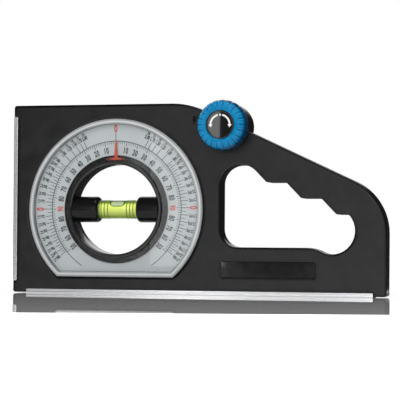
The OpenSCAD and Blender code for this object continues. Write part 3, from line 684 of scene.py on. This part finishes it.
cover_finish = Finish("cover", base_color=(0.74, 0.77, 0.78, 1), roughness=0.22)
x, _, z = cover_finish.axes()
across = x - float(DIAL[0])
above = z - float(DIAL[1])
reach = (across * across + above * above).root()
# painted light: the rim region gets a pale opaque layer, a painted highlight band, and a painted shade line
# at its inner step
round_rim = reach.step(COVER_R - RIM_W - 0.1, COVER_R - RIM_W + 0.1)
rim = round_rim.larger(above.step(RIM_LOW - COVER_FLAT + 0.1, RIM_LOW - COVER_FLAT - 0.1))
inward = (COVER_R - reach).smaller(above + COVER_FLAT)
painted_highlight_band = (inward - BAND_AT).size().step(0.8, 0.3)
painted_shade_seam = (inward - RIM_W).size().step(0.42, 0.12)
painted_rim_light_tone = cover_finish.blend(painted_highlight_band, (0.58, 0.60, 0.61), (0.86, 0.87, 0.88))
cover_finish.colour(painted_shade_seam, painted_rim_light_tone, (0.15, 0.16, 0.165))
window = cover_finish.clear((0.985, 0.99, 0.99), 1.49, 0.015)
cover_finish.layer((rim * 0.45).larger(painted_highlight_band * 0.6).larger(painted_shade_seam * 0.45), window, cover_finish.shader)


def cover_edges(a, b):
    """Rounds the cover's outer front edge in full and its hole's edge a little."""
    mid = (a + b) / 2
    away = np.linalg.norm(mid[:, [0, 2]] - DIAL, axis=1)
    front = (np.abs(a[:, 1] - 0.3) < 0.01) & (np.abs(b[:, 1] - 0.3) < 0.01)
    return np.where(front, np.where(away < 30, 0.25, 1.0), 0)


rounded_copy("dial_cover", "dial_window", cover_edges, 0.6, 3, "case", cover_finish)


# ---- Nameplate -----------------------------------------------------------------------------------
# A glossy black plastic label glued into a recess under the hand hole, with a fine raised border.
# Its face is a little uneven, as moulded plastic is.
plate_finish = Finish("plate", coat_weight=0.6, coat_roughness=0.03)
smear = plate_finish.noise(0.25, 3)
plate_finish.colour(smear, (0.004, 0.004, 0.0045), (0.010, 0.010, 0.011))
plate_finish.set("Roughness", 0.06 + smear * 0.12)


def plate_edges(a, b):
    """Rounds every edge of the plate's face."""
    return ((np.abs(a[:, 1] - 1.0) < 0.01) & (np.abs(b[:, 1] - 1.0) < 0.01)).astype(float)


rounded_copy("nameplate", "nameplate_label", plate_edges, 0.15, 2, "case", plate_finish)


# ---- Friction washer -----------------------------------------------------------------------------
# A spring-brass washer under the knob's pinion. Its drag on the knob keeps the ring where it is set.
# It is out of sight inside the body.
brass_finish = Finish("spring_brass", metallic=1.0)
tarnish = brass_finish.noise(0.8, 3)
brass_finish.colour(tarnish, (0.45, 0.33, 0.12), (0.72, 0.55, 0.24))
brass_finish.set("Roughness", 0.25 + tarnish * 0.25)
nodes["friction_washer"].data.materials[0] = brass_finish.material


# ---- Vial ring -----------------------------------------------------------------------------------
# A black nylon ring that carries the vial and turns in the body. Its front part has the flange over
# the dial; the rear part is screwed on behind, so a joint line runs round inside.
BORE_R = 26.0
ring_finish = Finish("ring", ior=1.5, coat_weight=0.5, coat_roughness=0.08)
grain = ring_finish.noise(3.0, 3)
cloud = ring_finish.noise(0.12, 3)
ring_finish.colour(cloud.step(0.3, 0.7), (0.006, 0.006, 0.0065), (0.013, 0.013, 0.014))
ring_finish.set("Roughness", 0.24 + (cloud - 0.5) * 0.12)
ring_finish.bump(grain, 0.0015, 0.3)


def lathed(profile, centre, turns=192):
    """A closed section of radius and depth, turned round an axis along the depth."""
    angle = np.linspace(0, 2 * np.pi, turns, endpoint=False)[:, None]
    r, d = np.asarray(profile, float).T
    points = stood(centre[0] + r * np.cos(angle), centre[1] + r * np.sin(angle), d + 0 * angle)
    return points, grid_faces(turns, len(profile), True, True)


front_section = rounded(
    [(BORE_R, 8.2), (BORE_R, -0.8), (26.7, -1.5), (28.2, -1.5), (28.2, 1.8), (31.3, 1.8), (31.3, 2.4),
     (28.2, 2.4), (28.2, 8.2)],
    [0.12, 0.5, 0.3, 0.45, 0.5, 0.2, 0.2, 0, 0])
make("ring_front_part", *lathed(front_section, DIAL), ring_finish, "ring", "ring", ["vial_ring"])


# ---- Rear ring -----------------------------------------------------------------------------------
# The ring's rear part, of the same nylon, screwed to the front part through its collar. Its rear
# lip is chamfered and burnished by handling. Its own section keeps the CAD collar and screw holes.
def rear_ring_edges(a, b):
    """Rounds the rear lip and breaks the edge at the joint."""
    mid = (a + b) / 2
    away = np.linalg.norm(mid[:, [0, 2]] - DIAL, axis=1)
    flat = np.abs(a[:, 1] - b[:, 1]) < 0.01
    lip = flat & (mid[:, 1] > 14.4) & (away > 27.6)
    joint = flat & (np.abs(mid[:, 1] - 9.0) < 0.01) & (away < BORE_R + 0.4)
    return np.where(lip, 1.0, np.where(joint, 0.3, 0))


rounded_copy("rear_ring", "ring_rear_part", rear_ring_edges, 0.4, 3, "ring", ring_finish)


# ---- Gears ---------------------------------------------------------------------------------------
# Acetal gears in the body: a ring gear on the vial ring, an idler, and the knob's pinion. The vial's
# end plugs are of the same plastic.
gear_finish = Finish("gear")
flow = gear_finish.noise(0.3, 3)
gear_finish.colour(flow, (0.66, 0.64, 0.57), (0.78, 0.76, 0.69))
gear_finish.set("Roughness", 0.3 + flow * 0.15)
for node in ("ring_gear", "idler_gear", "knob_pinion", "vial_plugs"):
    nodes[node].data.materials[0] = gear_finish.material


# ---- Pointer -------------------------------------------------------------------------------------
# A stamped brass pointer, painted signal red. Its curved foot is glued to the ring's flange, and the
# foot's ends are painted darker as shade.
pointer_finish = Finish("pointer", roughness=0.4, coat_weight=0.3, coat_roughness=0.15)
brushed = pointer_finish.noise(0.8, 3)
x, _, _ = pointer_finish.axes()
# painted shade: the foot's ends are darker away from the blade
foot_end_shade = (x - float(DIAL[0])).size().step(1.8, 4.2)
red = pointer_finish.blend(brushed, (0.50, 0.065, 0.035), (0.60, 0.095, 0.05))
pointer_finish.colour(foot_end_shade, red, (0.13, 0.035, 0.03))
pointer_finish.bump(brushed, 0.01, 0.3)


def pointer_edges(a, b):
    """Rounds the edges of the pointer's face."""
    return ((a[:, 1] < 2.21) & (b[:, 1] < 2.21)).astype(float)


rounded_copy("pointer", "pointer_blade", pointer_edges, 0.12, 2, "ring", pointer_finish)


# ---- Vial caps -----------------------------------------------------------------------------------
# Two glossy black moulded caps that hold the tube and end on the ring's bore. Their inner ends are
# rounded off generously.
VIAL_D = 6.1
CAP_R = 7.5
CAP_HOLE = 5.48
CAP_BEND = 2.0
VIAL_OFF = 1.0
WINDOW = 23.0

cap_finish = Finish("cap", ior=1.5, specular_ior_level=0.22, coat_weight=0.15, coat_roughness=0.05)
swirl = cap_finish.noise(0.35, 3)
cap_finish.colour(swirl, (0.0035, 0.0035, 0.004), (0.007, 0.007, 0.008))
cap_finish.set("Roughness", 0.17 + swirl * 0.12)
cap_finish.bump(swirl, 0.03, 0.2)


def along_vial(reach, r, angle):
    """Points at a distance along the vial from the ring's middle, a radius and an angle round it."""
    return stood(DIAL[0] + reach, DIAL[1] + r * np.cos(angle), VIAL_D + r * np.sin(angle))


def vial_cap(side, turns=128):
    """A rounded bar from the window to the ring: the far end follows x = sqrt(bore^2 - height^2)."""
    inner = WINDOW / 2 + side * VIAL_OFF
    corners = [(inner, CAP_HOLE), (inner, CAP_R), (BORE_R, CAP_R), (BORE_R, CAP_HOLE)]
    profile = rounded(corners, [0, CAP_BEND, 0, 0], 10)
    angle = np.linspace(0, 2 * np.pi, turns, endpoint=False)[:, None]
    reach, r = profile.T
    wall = np.sqrt((BORE_R - 0.03) ** 2 - (r * np.cos(angle)) ** 2)
    reach = np.minimum(reach + 0 * angle, wall)
    return along_vial(side * reach, r + 0 * angle, angle), grid_faces(turns, len(profile), True, True)


for side, node, name in ((-1, "left_cap", "vial_cap_left"), (1, "right_cap", "vial_cap_right")):
    make(name, *vial_cap(side), cap_finish, "ring", "cap", [node])


# ---- Vial tube -----------------------------------------------------------------------------------
# A clear acrylic tube, ground barrel-shaped inside. Six dark rings on it, three at each side, mark
# the middle and the slopes beside it.
TUBE_R = 5.45
TUBE_IN = 5.2
TUBE_HALF = 19.5

tube_finish = Finish("vial_glass")
tube_finish.clear((0.97, 0.985, 0.95), 1.49, 0.01)


def lathed_along(profile, turns=96):
    """A closed section of reach and radius, turned round the vial's axis."""
    angle = np.linspace(0, 2 * np.pi, turns, endpoint=False)[:, None]
    reach, r = np.asarray(profile, float).T
    return along_vial(reach + 0 * angle, r + 0 * angle, angle), grid_faces(turns, len(profile), True, True)


def cylinder(middle, half, inner, outer, bends, steps):
    """The section of a round piece along the vial, from its middle's reach, half length and radii."""
    low, high = middle - half, middle + half
    return rounded([(low, inner), (high, inner), (high, outer), (low, outer)], bends, steps)


tube_section = cylinder(VIAL_OFF, TUBE_HALF, TUBE_IN, TUBE_R, [0.05, 0.05, 0.1, 0.1], 3)
make("vial_glass_tube", *lathed_along(tube_section), tube_finish, "ring", "vial_glass", ["vial_tube"])

line_finish = ink("vial_lines", (0.07, 0.11, 0.006))
ring_lines = []
for spot in (-9.6, -7.7, -5.7, 5.7, 7.7, 9.6):
    low, high = spot + VIAL_OFF - 0.2, spot + VIAL_OFF + 0.2
    grid, faces = lathed_along([(low, TUBE_R - 0.03), (high, TUBE_R - 0.03), (high, TUBE_R + 0.015),
                                (low, TUBE_R + 0.015)])
    ring_lines.append((grid.reshape(-1, 3), faces))
make("vial_marks", *joined(ring_lines), line_finish, "ring", "vial_glass")


# ---- Liquid and bubble ---------------------------------------------------------------------------
# Dyed spirit, bright yellow-green, with an air bubble that runs along the top of the tube. Painted light:
# the spirit glows of its own in place of the light behind it, with a painted gradient from a shaded bottom to
# a lit middle, a painted dark band along the top edge and a painted shadow by the left cap.
LIQUID_R = 5.15
LIQUID_HALF = 17.45

liquid_finish = Finish("liquid", roughness=0.3, ior=1.36, specular_ior_level=0.1)
x, _, z = liquid_finish.axes()
up = (z - float(DIAL[1])) / LIQUID_R
# painted light and shade: darker low in the tube, lit higher up, darker again at the top edge
painted_lit = liquid_finish.blend(up.step(-1.1, 0.5), (0.24, 0.32, 0.055), (0.74, 0.80, 0.20))
painted_light_colour = liquid_finish.blend(up.step(0.5, 0.78), painted_lit, (0.19, 0.26, 0.05))
# painted shadow by the left cap
cap_painted_shadow = (x - float(DIAL[0] + VIAL_OFF)).step(-10.0, -10.9)
painted_light_colour = liquid_finish.blend(cap_painted_shadow * 0.8, painted_light_colour, (0.05, 0.10, 0.018))
liquid_finish.set("Base Color", painted_light_colour)
# painted glow: the spirit gives off light of its own
liquid_finish.set("Emission Color", painted_light_colour)
liquid_finish.set("Emission Strength", 0.3)
liquid_section = cylinder(VIAL_OFF, LIQUID_HALF, 0.0, LIQUID_R, [0, 0, 0.6, 0.6], 4)
make("vial_spirit", *lathed_along(liquid_section), liquid_finish, "ring", "liquid", ["vial_liquid"])

BUBBLE_R = 5.17
BUBBLE_HALF = 5.0
BUBBLE_LOW = 1.5
BUBBLE_X = float(DIAL[0]) + 0.9

# Painted light: the bubble glows a little, is painted dark round its edge as shade, and gets a painted darker
# line along its top
bubble_finish = Finish("bubble", roughness=0.1)
x, _, z = bubble_finish.axes()
beside = (x - BUBBLE_X) / BUBBLE_HALF
over = (z - float(DIAL[1]) - (BUBBLE_R + BUBBLE_LOW) / 2) / ((BUBBLE_R - BUBBLE_LOW) / 2)
shadow = (beside ** 4 + over ** 4).step(0.14, 0.45)
streak = (z - float(DIAL[1]) - 4.4).size().step(0.5, 0.15)
air = bubble_finish.blend(streak * 0.7, (0.50, 0.56, 0.37), (0.27, 0.28, 0.23))
bubble_colour = bubble_finish.blend(shadow, air, (0.06, 0.16, 0.018))
bubble_finish.set("Base Color", bubble_colour)
bubble_finish.set("Emission Color", bubble_colour)
bubble_finish.set("Emission Strength", 0.2)


def bubble_shape(rows=48, columns=64):
    """A lens of air under the tube's wall.

    Along the vial the section shrinks as sqrt(1 - t^4); each section is the part of the bore above a
    level, and the level rises towards the ends.
    """
    t = np.sin(np.linspace(-np.pi / 2, np.pi / 2, rows))[:, None]
    shrink = np.sqrt(np.clip(1 - t ** 4, 0, 1))
    r = BUBBLE_R
    low = r - (r - BUBBLE_LOW) * shrink
    half = np.arccos(np.clip(low / r, -1, 1))
    s = np.linspace(0, 1, columns // 2, endpoint=False)[None]
    arc_y, arc_z = r * np.sin(half * (1 - 2 * s)), r * np.cos(half * (1 - 2 * s))
    chord_y = r * np.sin(half) * (2 * s - 1)
    chord_z = low + 0 * s
    depth = np.concatenate([arc_y, chord_y], axis=1)
    height = np.concatenate([arc_z, chord_z], axis=1)
    points = stood(BUBBLE_X + BUBBLE_HALF * t + 0 * depth, DIAL[1] + height, VIAL_D + depth)
    return points, grid_faces(rows, columns, False, True)


make("air_bubble", *bubble_shape(), bubble_finish, "bubble", "bubble", ["bubble"], sharp=50)


# ---- Knob ----------------------------------------------------------------------------------------
# A blue thumb knob of slightly clear styrene, barrel-shaped with 22 flutes, screwed to the steel
# shaft. Its crest is polished and its face holds a black disc. Its side is painted dark as shade, and the
# flutes over the crest are painted with dark shade lines and pale glints.
FLUTES = 22
FLUTE_R = 1.1
FLUTE_AT = 15.0
GRIP_R = 14.6
FLUTE_FROM = 10.2
FLUTE_SHARE = 0.42
STEPS_PER_FLUTE = 24

knob_finish = Finish("knob", ior=1.5, specular_ior_level=0.16, coat_weight=0.08, coat_roughness=0.04)
haze = knob_finish.noise(0.22, 4, rough=0.6)
x, y, z = knob_finish.axes()
beside = x - float(KNOB[0])
over = z - float(KNOB[1])
reach = (beside * beside + over * over).root()
# painted shade on the knob's side
flank_shade = y.step(-10.0, -5.0).larger(reach.step(12.7, 14.1))
round_knob = over.math("ARCTAN2", over, beside) * FLUTES
wave = round_knob.math("COSINE", round_knob)
crest = reach.step(9.4, 11.0)
light_blue = knob_finish.blend(haze.step(0.3, 0.7), (0.0, 0.15, 0.345), (0.0, 0.225, 0.455))
# painted shade lines and painted glints at the flutes over the crest
crease_glints_and_shade = knob_finish.blend(wave.step(0.45, 0.95) * crest * 0.6, light_blue, (0.0, 0.075, 0.21))
crease_glints_and_shade = knob_finish.blend((wave + 0.15).size().step(0.35, 0.1) * crest * 0.4, crease_glints_and_shade, (0.05, 0.42, 0.66))
knob_finish.colour(flank_shade * 0.92, crease_glints_and_shade, (0.0, 0.018, 0.065))
knob_finish.set("Roughness", 0.14 + haze * 0.16)
knob_finish.bump(haze, 0.05, 0.15)


def quarter(mid_r, mid_s, wide, high, first, steps=14):
    """A quarter of an ellipse in the knob's section, from the first angle on."""
    angle = np.radians(np.linspace(first, first + 90, steps))
    return np.stack([mid_r + wide * np.cos(angle), mid_s + high * np.sin(angle)], axis=1)


def fluted(profile, turns):
    """The section turned round, with flat lands between flutes that run over the crest.

    A flute is a round groove: at a distance q to the side of its middle it is as deep as the bar of
    radius f that cuts it, sqrt(f^2 - q^2) less the bar's distance from the knob. The depth goes along
    the section's normal, and fades from the side of the knob to where the flutes begin on the crest.
    """
    angle = np.linspace(0, 2 * np.pi, turns, endpoint=False)[:, None]
    r, s = np.asarray(profile, float).T
    along = np.roll(profile, -1, axis=0) - np.roll(profile, 1, axis=0)
    normal_r, normal_s = along[:, 1], -along[:, 0]
    size = np.hypot(normal_r, normal_s)
    pitch = 2 * np.pi / FLUTES
    off = (angle + pitch / 2) % pitch - pitch / 2
    aside = r * np.sin(off)
    deep = np.sqrt(np.clip(FLUTE_R ** 2 - aside ** 2, 0, None)) - (FLUTE_AT - GRIP_R)
    share = np.clip((r - FLUTE_FROM) / 2.6, 0, 1)
    share = share * share * (3 - 2 * share)
    cut = np.clip(deep, 0, None) * share * FLUTE_SHARE
    land = np.cos(pitch / 2) / np.cos(pitch / 2 - np.abs(off))
    radius = (r - cut * normal_r / size) * np.where(r > 9.0, land, 1.0)
    front = s - cut * normal_s / size
    return (stood(KNOB[0] + radius * np.cos(angle), KNOB[1] + radius * np.sin(angle), -front),
            grid_faces(turns, len(profile), True, True))


knob_section = np.concatenate([
    [(3.03, 0.2)],
    quarter(11.5, 7.5, 3.1, 7.3, -90),
    quarter(10.9, 7.5, 3.7, 7.8, 0, 20),
    quarter(10.9, 14.5, 2.75, 0.8, 90, 10),
    [(8.15, 13.0), (2.95, 13.0), (2.95, 11.4), (1.65, 11.4), (1.65, 10.1), (3.03, 10.1)]])
make("knob_grip_fluted", *fluted(knob_section, FLUTES * STEPS_PER_FLUTE), knob_finish, "knob", "knob",
     ["knob_grip"], sharp=40)


# ---- Knob disc -----------------------------------------------------------------------------------
# A glossy black cap pressed into the knob's face over its screw. It is slightly domed inside a raised
# border, and two curved arrows and a dot are printed on it in white.
DISC_TOP = 14.42
DISC_BEND = 240.0


def on_disc(r):
    """How far the dome stands in front of the body at a radius: its top less r^2 / (2 R)."""
    return DISC_TOP - np.square(r) / (2 * DISC_BEND)


disc_finish = Finish("disc", base_color=(0.003, 0.003, 0.0033, 1), roughness=0.05, coat_weight=0.6,
                     coat_roughness=0.02)
border = rounded([(0.0, 13.0), (8.0, 13.0), (8.0, 14.5), (7.35, 14.5), (7.15, on_disc(7.15))],
                 [0, 0.1, 0.2, 0.1, 0], 4)
dome_r = np.linspace(7.1, 0.0, 16)
disc_section = np.concatenate([border, np.stack([dome_r, on_disc(dome_r)], axis=1)])
disc_section[:, 1] *= -1
make("knob_face_disc", *lathed(disc_section, KNOB, 96), disc_finish, "knob", "plate", ["knob_disc"])

white_ink = ink("white_ink", (0.78, 0.78, 0.76))
ARROW_R = 5.5


def arrow(side, steps=60):
    """A band along a circle with a head at its lower end: half width as a function of the angle."""
    t = np.linspace(0, 1, steps)
    angle = np.radians(14 + 92 * t)
    half = np.where(t < 0.82, 0.5, 1.25 * np.clip((1 - t) / 0.18, 0, 1))[:, None]
    out = ARROW_R + half * np.array([-1, 1, 1, -1])[None]
    x = KNOB[0] + side * out * np.sin(angle)[:, None]
    y = KNOB[1] + out * np.cos(angle)[:, None]
    lift = np.array([0, 0, INK, INK])[None]
    return stood(x, y, -on_disc(out) - lift).reshape(-1, 3), swept_faces(steps, 4)


def dot():
    """A small round spot at the top of the disc."""
    low = 0.05 - on_disc(ARROW_R)
    profile = np.array([(0.0, low), (0.55, low), (0.55, low - 0.05 - INK), (0.0, low - 0.05 - INK)])
    grid, faces = lathed(profile, KNOB + [0, ARROW_R], 24)
    return grid.reshape(-1, 3), faces


make("knob_arrows", *joined([arrow(-1), arrow(1), dot()]), white_ink, "knob", "plate", sharp=20)
